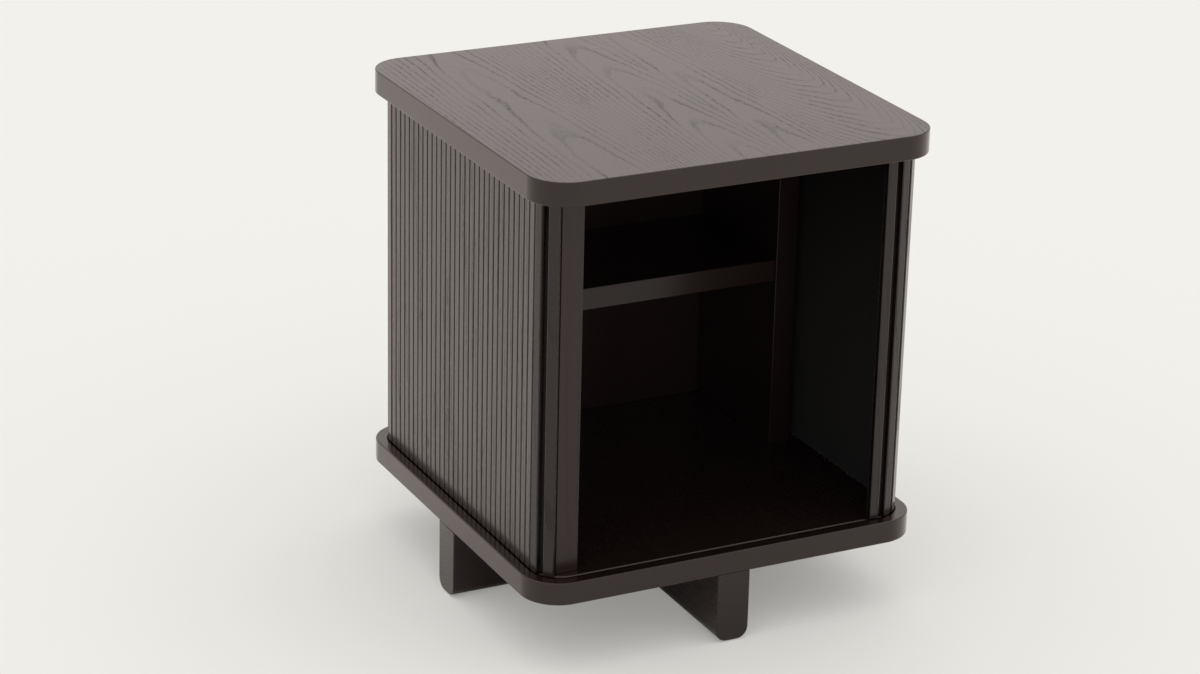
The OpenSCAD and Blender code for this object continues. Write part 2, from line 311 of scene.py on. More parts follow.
def stained_ash(
    name, face, pore, grain, leaves=PLAIN_LEAF, origin=(0.0, 0.0, 0.0), ring=6.2, gloss=0.26,
    open_grain=1.0, shift=(970.0, 2310.0), vary=0.1, banded=False,
):
    """Ash boards or veneer, brushed so that the pores stay open, stained black and given a
    satin lacquer. The growth rings show as dark broken lines of pores: arches where a leaf was
    cut through the middle of the ring pattern, and near-straight lines beside them.

    grain is the axis that the grain runs along, and origin the pattern's own origin in metres.
    ring is the ring spacing in millimetres. open_grain is how far the lacquer leaves the pores
    open. shift moves the pattern across and along the grain by each solid's own chance value,
    and vary is how far its tone changes. A banded panel has a strip of the same wood glued
    round its edge, so no rings show there."""
    made, tree = new_material(name)
    tone = add(tree, "ShaderNodeAttribute", attribute_name="piece_tone").outputs["Fac"]
    point = wood_point(tree, grain, origin, tone, shift)
    drift = spots(tree, point, DRIFT_SIZE, detail=1.0)
    off, radius = log_section(tree, point, leaves, drift)
    spring_wood = spring_bands(tree, point, off, radius, ring)
    pored = open_pores(tree, point, spring_wood, drift)
    if banded:
        facing = add(tree, "ShaderNodeNewGeometry").outputs["Normal"]
        facing = add(tree, "ShaderNodeSeparateXYZ", {0: facing}).outputs["Z"]
        level = add(tree, "ShaderNodeMath", {0: facing}, operation="ABSOLUTE")
        level = add(
            tree, "ShaderNodeMapRange", {"Value": level, "From Min": 0.4, "From Max": 0.9},
            interpolation_type="SMOOTHSTEP")
        pored = add(tree, "ShaderNodeMath", {0: pored, 1: level}, operation="MULTIPLY")
    pored = add(tree, "ShaderNodeMath", {0: pored, 1: open_grain}, operation="MULTIPLY")

    # The stain takes unevenly: a cloudy change of tone, and one tone for each solid.
    cloud = spots(tree, point, CLOUD_SIZE, detail=3.0)
    cloudy = add(
        tree, "ShaderNodeMapRange",
        {"Value": cloud, "To Min": 1 - STAIN_WANDER, "To Max": 1 + STAIN_WANDER})
    own = add(tree, "ShaderNodeMath", {0: tone, 1: TONE_SPREAD}, operation="MULTIPLY")
    own = add(tree, "ShaderNodeMath", {0: own}, operation="FRACT")
    own = add(tree, "ShaderNodeMapRange", {"Value": own, "To Min": 1 - vary, "To Max": 1 + vary})
    light = add(tree, "ShaderNodeMath", {0: own, 1: cloudy}, operation="MULTIPLY")
    base = add(tree, "ShaderNodeVectorMath", {0: linear(face)[:3], "Scale": light}, operation="SCALE")
    darker = add(tree, "ShaderNodeMath", {0: pored, 1: PORE_DARKENING}, operation="MULTIPLY")
    colour = add(
        tree, "ShaderNodeMix", {"Factor": darker, "A": base.outputs[0], "B": linear(pore)},
        data_type="RGBA")

    # The lacquer is satin on the flats and sinks into the pores, which stay matte.
    flush = add(tree, "ShaderNodeMath", {0: 1.0, 1: pored}, operation="SUBTRACT", use_clamp=True)
    rough = add(
        tree, "ShaderNodeMapRange",
        {"Value": cloud, "To Min": gloss - GLOSS_WANDER, "To Max": gloss + GLOSS_WANDER})
    rough = add(
        tree, "ShaderNodeMath", {0: pored, 1: PORE_ROUGHENING, 2: rough}, operation="MULTIPLY_ADD")
    relief = add(tree, "ShaderNodeBump", {"Height": flush, "Strength": 0.5, "Distance": PORE_DEPTH})
    surface = add(tree, "ShaderNodeBsdfPrincipled", {
        "Base Color": colour.outputs["Result"],
        "Roughness": rough,
        "Normal": relief,
        "IOR": WOOD_IOR,
        "Specular Tint": linear(WOOD_TINT),
        "Coat Weight": flush,
        "Coat IOR": LACQUER_IOR,
        "Coat Roughness": LACQUER_ROUGHNESS,
        "Coat Tint": linear(LACQUER_TINT),
    })
    add(tree, "ShaderNodeOutputMaterial", {"Surface": surface})
    return made


def wood_point(tree, grain, origin, tone, shift):
    """Where a point lies in the wood, in millimetres: across the grain, along it and deep."""
    place = add(tree, "ShaderNodeTexCoord").outputs["Object"]
    place = add(tree, "ShaderNodeVectorMath", {0: place, 1: origin}, operation="SUBTRACT")
    place = add(tree, "ShaderNodeMapping", {
        "Vector": place, "Rotation": GRAIN_TURNS[grain], "Scale": (1 / MM, 1 / MM, 1 / MM)})
    chance = add(tree, "ShaderNodeMath", {0: tone, 1: 0.5}, operation="SUBTRACT")
    return add(
        tree, "ShaderNodeVectorMath", {0: chance, 1: (*shift, 0.0), 2: place},
        operation="MULTIPLY_ADD")


def spots(tree, point, size, detail):
    """Soft spots, as wide and as long as a size in millimetres across and along the grain."""
    across, along = size
    point = add(
        tree, "ShaderNodeMapping", {"Vector": point, "Scale": (1 / across, 1 / along, 1 / across)})
    return add(tree, "ShaderNodeTexNoise", {"Vector": point, "Scale": 1.0, "Detail": detail})


def log_section(tree, point, leaves, drift):
    """How far a point lies beside the log's heart, and how far from it in all, in millimetres.
    The leaf that the point is on gives the heart's place, and so the rings' arches."""
    across, along, deep = add(tree, "ShaderNodeSeparateXYZ", {0: point}).outputs
    first, last = LEAF_SPAN
    step = add(
        tree, "ShaderNodeMapRange", {"Value": across, "From Min": first, "From Max": last})
    leaf = add(tree, "ShaderNodeValToRGB", {0: step})
    fill_steps(leaf.color_ramp, leaves)
    heart, depth, slope = add(tree, "ShaderNodeSeparateColor", {0: leaf}).outputs
    heart = add(
        tree, "ShaderNodeMath", {0: heart, 1: HEART_SCALE, 2: -RAMP_MIDDLE * HEART_SCALE},
        operation="MULTIPLY_ADD")
    off = add(tree, "ShaderNodeMath", {0: across, 1: heart}, operation="SUBTRACT")
    squeeze = add(
        tree, "ShaderNodeMath", {0: leaf.outputs["Alpha"], 1: SQUEEZE_SCALE}, operation="MULTIPLY")
    narrow = add(
        tree, "ShaderNodeMapRange",
        {"Value": off, "From Max": ARCH_TIP, "To Min": 1.0, "To Max": squeeze},
        interpolation_type="SMOOTHSTEP")
    off = add(tree, "ShaderNodeMath", {0: off, 1: narrow}, operation="MULTIPLY")
    slope = add(tree, "ShaderNodeMath", {0: slope, 1: RAMP_MIDDLE}, operation="SUBTRACT")
    under = add(
        tree, "ShaderNodeMath", {0: depth, 1: DEPTH_SCALE, 2: deep}, operation="MULTIPLY_ADD")
    under = add(tree, "ShaderNodeMath", {0: slope, 1: along, 2: under}, operation="MULTIPLY_ADD")
    under = add(
        tree, "ShaderNodeMath", {0: drift, 1: DRIFT_REACH, 2: under}, operation="MULTIPLY_ADD")
    section = add(tree, "ShaderNodeCombineXYZ", {"X": off, "Y": under})
    radius = add(tree, "ShaderNodeVectorMath", {0: section}, operation="LENGTH").outputs["Value"]
    return off, radius


def fill_steps(steps, leaves):
    """Writes each leaf's numbers into a colour ramp, as flat steps across the grain."""
    first, last = LEAF_SPAN
    steps.interpolation = "CONSTANT"
    while len(steps.elements) < len(leaves):
        steps.elements.new(1.0)
    for element, (start, heart, depth, slope, squeeze) in zip(steps.elements, leaves):
        element.position = max(0.0, (start - first) / (last - first))
        element.color = (
            heart / HEART_SCALE + RAMP_MIDDLE, depth / DEPTH_SCALE, slope + RAMP_MIDDLE,
            squeeze / SQUEEZE_SCALE)
    while len(steps.elements) > len(leaves):
        steps.elements.remove(steps.elements[-1])


def spring_bands(tree, point, off, radius, ring):
    """How much a point lies in the band of wide pores that each ring starts with, in spring."""
    waver = spots(tree, point, WAVER_SIZE, detail=2.0)
    years = add(
        tree, "ShaderNodeMath", {0: waver, 1: WAVER_REACH, 2: radius}, operation="MULTIPLY_ADD")
    years = add(tree, "ShaderNodeMath", {0: years, 1: ring}, operation="DIVIDE")
    year = add(tree, "ShaderNodeMath", {0: years}, operation="FRACT")
    start = add(
        tree, "ShaderNodeMapRange", {"Value": year, "From Max": SPRING_START},
        interpolation_type="SMOOTHSTEP")
    whole, faded = SPRING_FADE
    end = add(
        tree, "ShaderNodeMapRange", {"Value": year, "From Min": faded, "From Max": whole},
        interpolation_type="SMOOTHSTEP")
    band = add(tree, "ShaderNodeMath", {0: start, 1: end}, operation="MULTIPLY")
    # At an arch's tip the cut runs nearly along the ring, so its pores lie apart and show less.
    flank = add(tree, "ShaderNodeMath", {0: off}, operation="ABSOLUTE")
    flank = add(tree, "ShaderNodeMath", {0: flank, 1: radius}, operation="DIVIDE")
    flank = add(
        tree, "ShaderNodeMapRange", {"Value": flank, "From Max": 0.3, "To Min": 0.35},
        interpolation_type="SMOOTHSTEP")
    return add(tree, "ShaderNodeMath", {0: band, 1: flank}, operation="MULTIPLY")


def open_pores(tree, point, spring_wood, drift):
    """How much a point lies in an open pore: wide ones in the spring wood, and fainter stray
    ones between. In some stretches they stand out, in others they nearly close up."""
    pores = spots(tree, point, PORE_SIZE, detail=2.0)
    wide = add(
        tree, "ShaderNodeMapRange", {"Value": pores, "From Min": 0.38, "From Max": 0.57},
        interpolation_type="SMOOTHSTEP")
    wide = add(tree, "ShaderNodeMath", {0: spring_wood, 1: wide}, operation="MULTIPLY")
    stray = add(
        tree, "ShaderNodeMapRange",
        {"Value": pores, "From Min": 0.52, "From Max": 0.74, "To Max": 0.3},
        interpolation_type="SMOOTHSTEP")
    pored = add(tree, "ShaderNodeMath", {0: wide, 1: stray}, operation="MAXIMUM")
    patchy = add(
        tree, "ShaderNodeMapRange",
        {"Value": drift, "From Min": 0.4, "From Max": 0.6, "To Min": 0.5, "To Max": 1.2},
        interpolation_type="SMOOTHSTEP")
    return add(tree, "ShaderNodeMath", {0: pored, 1: patchy}, operation="MULTIPLY")


# Threads are 0.6 mm apart in cotton duck. The grid of threads is drawn 9.4 mm apart, far
# coarser, so that it shows in the finger grooves. A wave texture runs through 20 radians for
# each unit of its own scale.
THREAD_SPACING = 9.4248 * MM
WAVE_RADIANS = 20.0


def cotton_duck(name, colour):
    """Black cotton duck, woven plain: matte, with a faint grid of threads and a little fluff."""
    made, tree = new_material(name)
    place = add(tree, "ShaderNodeTexCoord").outputs["UV"]
    scale = math.tau / (WAVE_RADIANS * THREAD_SPACING)
    warp, weft = (
        add(
            tree, "ShaderNodeTexWave",
            {"Vector": place, "Scale": scale, "Distortion": 0.4, "Detail": 1.0},
            wave_type="BANDS", bands_direction=direction,
        ).outputs["Fac"]
        for direction in ("X", "Y")
    )
    weave = add(tree, "ShaderNodeMath", {0: warp, 1: weft}, operation="MAXIMUM")
    fluff = add(tree, "ShaderNodeTexNoise", {"Vector": place, "Scale": 0.4 / MM, "Detail": 3.0})
    fluff = add(tree, "ShaderNodeMapRange", {"Value": fluff, "To Min": 0.5, "To Max": 0.9})
    light = add(tree, "ShaderNodeMath", {0: weave, 1: 0.5, 2: fluff}, operation="MULTIPLY_ADD")
    base = add(tree, "ShaderNodeVectorMath", {0: linear(colour)[:3], "Scale": light}, operation="SCALE")
    relief = add(tree, "ShaderNodeBump", {"Height": weave, "Strength": 0.5, "Distance": 0.1 * MM})
    surface = add(tree, "ShaderNodeBsdfPrincipled", {
        "Base Color": base,
        "Roughness": 0.95,
        "Normal": relief,
        "Specular IOR Level": 0.2,
        "Sheen Weight": 0.03,
    })
    add(tree, "ShaderNodeOutputMaterial", {"Surface": surface})
    return made


def bare_beech(name, colour):
    """Turned beech dowel and planed beech block, no finish: pale, with short darker flecks,
    1.5 to the millimetre across them and 0.3 along them."""
    made, tree = new_material(name)
    place = add(tree, "ShaderNodeTexCoord").outputs["Object"]
    flecks = add(
        tree, "ShaderNodeMapping", {"Vector": place, "Scale": (1.5 / MM, 1.5 / MM, 0.3 / MM)})
    flecks = add(tree, "ShaderNodeTexNoise", {"Vector": flecks, "Scale": 1.0, "Detail": 2.0})
    light = add(
        tree, "ShaderNodeMapRange",
        {"Value": flecks, "From Min": 0.5, "From Max": 0.7, "To Min": 1.05, "To Max": 0.8},
        interpolation_type="SMOOTHSTEP")
    base = add(tree, "ShaderNodeVectorMath", {0: linear(colour)[:3], "Scale": light}, operation="SCALE")
    surface = add(tree, "ShaderNodeBsdfPrincipled", {"Base Color": base, "Roughness": 0.6})
    add(tree, "ShaderNodeOutputMaterial", {"Surface": surface})
    return made


def zinc_plated_steel(name):
    """Zinc-plated steel, drawn and machined: grey, fairly smooth, with turning marks 0.4 mm
    apart."""
    made, tree = new_material(name)
    place = add(tree, "ShaderNodeTexCoord").outputs["Object"]
    marks = add(
        tree, "ShaderNodeTexNoise", {"Vector": place, "Scale": 1 / (0.4 * MM), "Detail": 2.0})
    rough = add(tree, "ShaderNodeMapRange", {"Value": marks, "To Min": 0.22, "To Max": 0.47})
    surface = add(tree, "ShaderNodeBsdfPrincipled", {
        "Base Color": linear("#a9abad"), "Metallic": 1.0, "Roughness": rough})
    add(tree, "ShaderNodeOutputMaterial", {"Surface": surface})
    return made


def moulded_nylon(name):
    """Moulded black nylon: matte, with the spark-eroded grain of the mould, 1.8 grains to the
    millimetre."""
    made, tree = new_material(name)
    place = add(tree, "ShaderNodeTexCoord").outputs["Object"]
    texture = add(
        tree, "ShaderNodeTexNoise", {"Vector": place, "Scale": 1.8 / MM, "Detail": 2.0})
    rough = add(tree, "ShaderNodeMapRange", {"Value": texture, "To Min": 0.5, "To Max": 0.7})
    relief = add(tree, "ShaderNodeBump", {"Height": texture, "Strength": 0.3, "Distance": 0.05 * MM})
    surface = add(tree, "ShaderNodeBsdfPrincipled", {
        "Base Color": linear("#161616"), "Roughness": rough, "Normal": relief})
    add(tree, "ShaderNodeOutputMaterial", {"Surface": surface})
    return made


# ---------------------------------------------------------------- mesh work


# Points of a CAD mesh that are closer than this are one point, and faces that turn by less than
# this angle are one flat face.
SAME_POINT = 0.002 * MM
SAME_FACE = math.radians(0.5)

# Edges that turn by more than this angle are shaded sharp.
SHADED_EDGE = math.radians(50)


def cad_copy(node):
    """A merged copy of a CAD node's mesh, with its flat faces whole again."""
    bm = bmesh.new()
    bm.from_mesh(frame["nodes"][node].data)
    bmesh.ops.remove_doubles(bm, verts=bm.verts, dist=SAME_POINT)
    bmesh.ops.dissolve_limit(bm, angle_limit=SAME_FACE, verts=bm.verts, edges=bm.edges)
    return bm


def soften(bm, edges, width, segments=2):
    """Rounds the given edges."""
    bmesh.ops.bevel(
        bm, geom=edges, offset=width, offset_type="OFFSET", segments=segments,
        profile=0.5, affect="EDGES", clamp_overlap=True, material=-1,
    )


def sharp_edges(bm, turn, shortest=0.0):
    """Edges that turn by more than this many degrees, and are at least so long."""
    limit = math.radians(turn)
    return [
        edge for edge in bm.edges
        if edge.is_manifold and edge.calc_face_angle() > limit and edge.calc_length() >= shortest
    ]


def tag_islands(bm, seed):
    """Gives each separate solid of a mesh one chance value, for its own tone and grain. The
    solids are taken in the order of the mesh's own points, so that each run is the same."""
    tone = bm.verts.layers.float.new("piece_tone")
    chance = random.Random(seed)
    tagged = set()
    for first in bm.verts:
        if first in tagged:
            continue
        value = chance.random()
        tagged.add(first)
        wave = [first]
        while wave:
            vert = wave.pop()
            vert[tone] = value
            for edge in vert.link_edges:
                other = edge.other_vert(vert)
                if other not in tagged:
                    tagged.add(other)
                    wave.append(other)


def finish_piece(bm, name, node, material, seed, body=None):
    """Makes the mesh a shown piece that stands for a CAD node. It moves with a body, if one is
    given. The seed is where its solids' chance values start from."""
    tag_islands(bm, seed)
    bmesh.ops.recalc_face_normals(bm, faces=bm.faces)
    mesh = bpy.data.meshes.new(name)
    bm.to_mesh(mesh)
    bm.free()
    mesh.materials.append(material)
    mesh.shade_smooth()
    mesh.set_sharp_from_angle(angle=SHADED_EDGE)
    piece = bpy.data.objects.new(name, mesh)
    bpy.context.scene.collection.objects.link(piece)
    flats = piece.modifiers.new("Flats", "WEIGHTED_NORMAL")
    flats.keep_sharp = True
    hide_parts(node)
    if body:
        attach(piece, body)
    return piece


def slot_of(node):
    """The record's material slot of a CAD node."""
    for part in frame["record"]["subparts"]:
        if part["node"] == node:
            return part["material_slot"]
    raise RuntimeError(f"{node} has no material slot")


def body_of(node):
    """The body that a CAD node rides on."""
    for body, nodes in frame["record"]["behaviour"]["bodies"].items():
        if node in nodes:
            return body
    raise RuntimeError(f"{node} rides on no body")


def keep_node(node, material):
    """Keeps a CAD node as it is, with a better material."""
    for slot in frame["nodes"][node].material_slots:
        slot.material = material


def rounded_loop(bm, inset, radius, z, half_x, half_y, keep_face):
    """Adds a rounded rectangle at height z, set in from the panel's edges. Returns its edges."""
    old_edges, old_faces = set(bm.edges), set(bm.faces)
    x, y = half_x - inset, half_y - inset
    corners = [bm.verts.new(place) for place in ((-x, -y, z), (x, -y, z), (x, y, z), (-x, y, z))]
    bm.faces.new(corners)
    bmesh.ops.bevel(
        bm, geom=corners, offset=radius, offset_type="OFFSET", segments=CORNER_SEGMENTS,
        profile=0.5, affect="VERTICES", clamp_overlap=False, material=-1,
    )
    if not keep_face:
        made = [face for face in bm.faces if face not in old_faces]
        bmesh.ops.delete(bm, geom=made, context="FACES_ONLY")
    return [edge for edge in bm.edges if edge not in old_edges]


def grooved_panel(sizes, node, groove_up):
    """A rounded panel with the track groove in its upper or lower face. Its outlines are
    bridged while they lie one above the other, and then moved to their own heights."""
    low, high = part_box(node)
    near, far = (high.z, low.z) if groove_up else (low.z, high.z)
    floor = near + math.copysign(sizes.groove_depth, far - near)
    inner_inset = sizes.groove_inset + sizes.groove_width
    inner_radius = sizes.groove_radius - sizes.groove_width
    outlines = (
        (inner_inset, inner_radius, near),
        (inner_inset, inner_radius, floor),
        (sizes.groove_inset, sizes.groove_radius, floor),
        (sizes.groove_inset, sizes.groove_radius, near),
        (0.0, sizes.corner_radius, near),
        (0.0, sizes.corner_radius, far),
    )
    bm = bmesh.new()
    faced = (0, len(outlines) - 1)
    loops = [
        rounded_loop(bm, inset, radius, step, high.x, high.y, keep_face=step in faced)
        for step, (inset, radius, _) in enumerate(outlines)
    ]
    for first, second in zip(loops, loops[1:]):
        bmesh.ops.bridge_loops(bm, edges=first + second)
    for step, (loop, (_, _, z)) in enumerate(zip(loops, outlines)):
        ring = {vert for edge in loop for vert in edge.verts}
        bmesh.ops.translate(bm, vec=(0, 0, z - step), verts=list(ring))
    bmesh.ops.recalc_face_normals(bm, faces=bm.faces)
    soften(bm, loops[4] + loops[5], sizes.edge_radius, segments=4)
    soften(bm, loops[0], sizes.deck_edge, segments=4)
    soften(bm, loops[3], sizes.groove_break, segments=2)
    return bm


# ---------------------------------------------------------------- operators


class BEDSIDE_OT_panels(bpy.types.Operator):
    """Builds the top and base panels, with their rounded corners and track grooves"""

    bl_idname = "bedside.panels"
    bl_label = "Top and base panels"

    def execute(self, context):
        sizes, stains = context.scene.bedside_panel, context.scene.bedside_stain
        for node, groove_up, leaves, open_grain in (
            ("top_panel", False, TOP_LEAVES, 0.55),
            ("base_panel", True, PLAIN_LEAF, 0.2),
        ):
            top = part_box(node)[1].z
            wood = stained_ash(
                f"stained_ash_{node}", stains.ash, stains.ash_pore, grain="Y", leaves=leaves,
                origin=(0.0, 0.0, top), ring=5.0, open_grain=open_grain, shift=(0.0, 0.0),
                vary=0.0, banded=True)
            bm = grooved_panel(sizes, node, groove_up)
            finish_piece(bm, f"{node}_dressed", node, wood, PANEL_SEED, CABINET)
        return {"FINISHED"}


# Edges that turn by more than these angles, in degrees, are rounded on each kind of piece. The
# walls' short edges are those of their bores, and stay sharp.
LEG_CORNER = 40
WALL_CORNER = 60
SLAT_CORNER = 20
SHORTEST_WALL_EDGE = 14 * MM

# A point this close to a board's end lies on it.
ON_END = 0.01 * MM


class BEDSIDE_OT_legs(bpy.types.Operator):
    """Softens the two crossed leg boards and gives them their wood"""

    bl_idname = "bedside.legs"
    bl_label = "Leg boards"

    def execute(self, context):
        stains = context.scene.bedside_stain
        for node, grain in (("leg_board_side_to_side", "X"), ("leg_board_front_to_back", "Y")):
            bm = cad_copy(node)
            low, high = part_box(node)
            ends = [
                edge for edge in sharp_edges(bm, LEG_CORNER)
                if all(at_end(vert.co, low, high, "XY".index(grain)) for vert in edge.verts)
            ]
            soften(bm, ends, context.scene.bedside_board.leg_edge, segments=3)
            wood = stained_ash(
                f"stained_ash_leg_{grain.lower()}", stains.ash, stains.ash_pore, grain=grain,
                open_grain=0.2)
            finish_piece(bm, f"{node}_dressed", node, wood, LEG_SEED, CABINET)
        return {"FINISHED"}


def at_end(place, low, high, axis):
    """True where a point lies on one of the two end faces of a box along an axis."""
    return min(abs(place[axis] - low[axis]), abs(place[axis] - high[axis])) < ON_END


class BEDSIDE_OT_carcase(bpy.types.Operator):
    """Softens the inner walls and the shelf and gives them their stained wood, darker than the face
    wood as painted shade
    """

    bl_idname = "bedside.carcase"
    bl_label = "Walls and shelf"

    def execute(self, context):
        stains = context.scene.bedside_stain
        width = context.scene.bedside_board.wall_edge
        # The walls and shelf take the inside stain, whose darker tone is painted shade.
        shaded_wall_wood, shaded_shelf_wood = (
            stained_ash(
                name, stains.inside, stains.inside_pore, grain=grain, gloss=0.5, open_grain=0.25)
            for name, grain in (("shaded_stained_ash_wall", "Z"), ("shaded_stained_ash_shelf", "X"))
        )
        for seed, (node, wood) in enumerate((
            ("left_wall", shaded_wall_wood),
            ("right_wall", shaded_wall_wood),
            ("back_wall", shaded_wall_wood),
            ("shelf", shaded_shelf_wood),
        ), start=CARCASE_SEED):
            bm = cad_copy(node)
            soften(bm, sharp_edges(bm, WALL_CORNER, shortest=SHORTEST_WALL_EDGE), width)
            finish_piece(bm, f"{node}_dressed", node, wood, seed, CABINET)
        return {"FINISHED"}


class BEDSIDE_OT_curtains(bpy.types.Operator):
    """Softens every slat and both leading stiles, each with its own tone and grain"""

    bl_idname = "bedside.curtains"
    bl_label = "Slats and stiles"

    def execute(self, context):
        stains = context.scene.bedside_stain
        width = context.scene.bedside_board.slat_edge
        wood = stained_ash(
            "stained_ash_slat", stains.slat, stains.ash_pore, grain="Z", leaves=SLAT_LEAF,
            ring=5.0, open_grain=0.5, shift=(90.0, 2310.0))
        nodes = sorted(node for node in frame["nodes"] if slot_of(node) == "slat_wood")
        if not nodes:
            raise RuntimeError("the frame holds no slats")
        for seed, node in enumerate(nodes, start=CURTAIN_SEED):
            bm = cad_copy(node)
            soften(bm, sharp_edges(bm, SLAT_CORNER), width)
            finish_piece(bm, f"{node}_dressed", node, wood, seed, body_of(node))
        return {"FINISHED"}


class BEDSIDE_OT_cloths(bpy.types.Operator):
    """Lays the cloth behind each curtain along the track, from its tail to its stile"""

    bl_idname = "bedside.cloths"
    bl_label = "Backing cloths"

    def execute(self, context):
        sizes = context.scene.bedside_cloth
        material = cotton_duck("cotton_duck", context.scene.bedside_stain.cloth)
        for side in ("left", "right"):
            node = f"{side}_cloth"
            bm, run = cloth_sheet(sizes, side)
            piece = finish_piece(bm, f"{side}_backing_cloth", node, material, CLOTH_SEED)
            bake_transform(piece)
            wall = piece.modifiers.new("Cloth thickness", "SOLIDIFY")
            wall.thickness, wall.offset = sizes.thickness, 0.0
        return {"FINISHED"}


def cloth_sheet(sizes, side):
    """The middle face of a cloth and its length along the track. It is drawn for the left
    side, and mirrored for the right one."""
    low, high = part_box(f"{side}_cloth")
    panel_low, panel_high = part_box("top_panel")
    centre = sizes.corner_centre
    left, front, rear = panel_low.x + centre, panel_low.y + centre, panel_high.y - centre
    tail = high.x if side == "left" else -low.x
    reach = sizes.left_reach if side == "left" else sizes.right_reach
    radius = sizes.corner_radius - sizes.thickness / 2
    turn = min(reach / sizes.line_radius, math.pi / 2)
    ahead = max(reach - sizes.line_radius * math.pi / 2, 0.0)

    bm = bmesh.new()
    start = Vector((tail, rear + radius, low.z))
    ends = [bm.verts.new(start), bm.verts.new(start + Vector((0, 0, high.z - low.z)))]
    edge = bm.edges.new(ends)
    edge = drawn_on(bm, edge, (left - tail, 0, 0))
    edge = spun_on(bm, edge, (left, rear, 0), math.pi / 2)
    edge = drawn_on(bm, edge, (0, front - rear, 0))
    edge = spun_on(bm, edge, (left, front, 0), turn)
    if ahead:
        drawn_on(bm, edge, (ahead, 0, 0))
    run = (tail - left) + (rear - front) + radius * (math.pi / 2 + turn) + ahead

    layer = bm.loops.layers.uv.new("cloth")
    for face in bm.faces:
        for loop in face.loops:
            place = loop.vert.co
            loop[layer].uv = (along_track(place, left, front, rear, radius), place.z)
    if side == "right":
        bmesh.ops.scale(bm, vec=(-1, 1, 1), verts=bm.verts)
    return bm, run


def drawn_on(bm, edge, step):
    """Draws the cloth's free edge straight on by a step, and returns the new free edge."""
    made = bmesh.ops.extrude_edge_only(bm, edges=[edge])["geom"]
    bmesh.ops.translate(
        bm, vec=step, verts=[part for part in made if isinstance(part, bmesh.types.BMVert)])
    return next(
        part for part in made
        if isinstance(part, bmesh.types.BMEdge) and len(part.link_faces) == 1 and upright(part)
    )


def spun_on(bm, edge, centre, turn):
    """Turns the cloth's free edge on round an upright axis, and returns the new free edge."""
    made = bmesh.ops.spin(
        bm, geom=[edge, *edge.verts], cent=centre, axis=(0, 0, 1), angle=turn,
        steps=CORNER_SEGMENTS, use_duplicate=False,
    )["geom_last"]
    return next(
        part for part in made if isinstance(part, bmesh.types.BMEdge) and upright(part))


def upright(edge):
    """True where an edge stands upright, and doesn't run along the track."""
    first, second = (vert.co for vert in edge.verts)
    return abs(first.z - second.z) > (first - second).xy.length


def along_track(place, left, front, rear, radius):
    """How far a point of the left cloth lies along the track from the start of the front corner."""
    if place.y > rear:
        if place.x > left:
            return -(rear - front) - radius * math.pi / 2 - (place.x - left)
        return -(rear - front) - radius * math.atan2(place.y - rear, left - place.x)
    if place.y < front:
        if place.x > left:
            return radius * math.pi / 2 + (place.x - left)
        return radius * math.atan2(front - place.y, left - place.x)
    return front - place.y


class BEDSIDE_OT_fixings(bpy.types.Operator):
    """Gives the dowels, pins, screws, glides and track stops their finishes"""

    bl_idname = "bedside.fixings"
    bl_label = "Fixings"

    def execute(self, context):
        beech = bare_beech("bare_beech", context.scene.bedside_stain.beech)
        steel = zinc_plated_steel("zinc_plated_steel")
        nylon = moulded_nylon("moulded_nylon")
        for material, nodes in (
            (beech, ("top_dowels", "base_dowels", "leg_dowels", "track_stops")),
            (steel, ("shelf_pins", "leg_screws")),
            (nylon, ("glides",)),
        ):
            for node in nodes:
                keep_node(node, material)
        return {"FINISHED"}


class BEDSIDE_OT_studio(bpy.types.Operator):
    """Lays the floor, sets the lamps and places the camera"""

    bl_idname = "bedside.studio"
    bl_label = "Studio"

    def execute(self, context):
        scene, studio = context.scene, context.scene.bedside_studio
        lay_floor(scene)
        light_world(scene, studio)
        softbox(
            scene, "overhead_softbox", studio.overhead, size=2.6, place=(0.2, 0.1, 3.2),
            target=(0, 0, 0.3))
        place_camera(scene, studio)
        scene.view_settings.view_transform = "Standard"
        return {"FINISHED"}


# The floor reaches this far from the middle on each side, in metres.
FLOOR_REACH = 12.0

# Over these lengths of a glossy ray, in metres, the floor's own light comes in.
NEAR_GLOSS, FAR_GLOSS = 0.25, 0.6

# The camera's sensor in millimetres, and the nearest and farthest that it sees in metres.
SENSOR_WIDTH = 36.0
CLIP_START, CLIP_END = 0.05, 60.0

# The light from all round is a very pale warm white.
SKY_COLOUR = (1.0, 0.99, 0.975, 1.0)


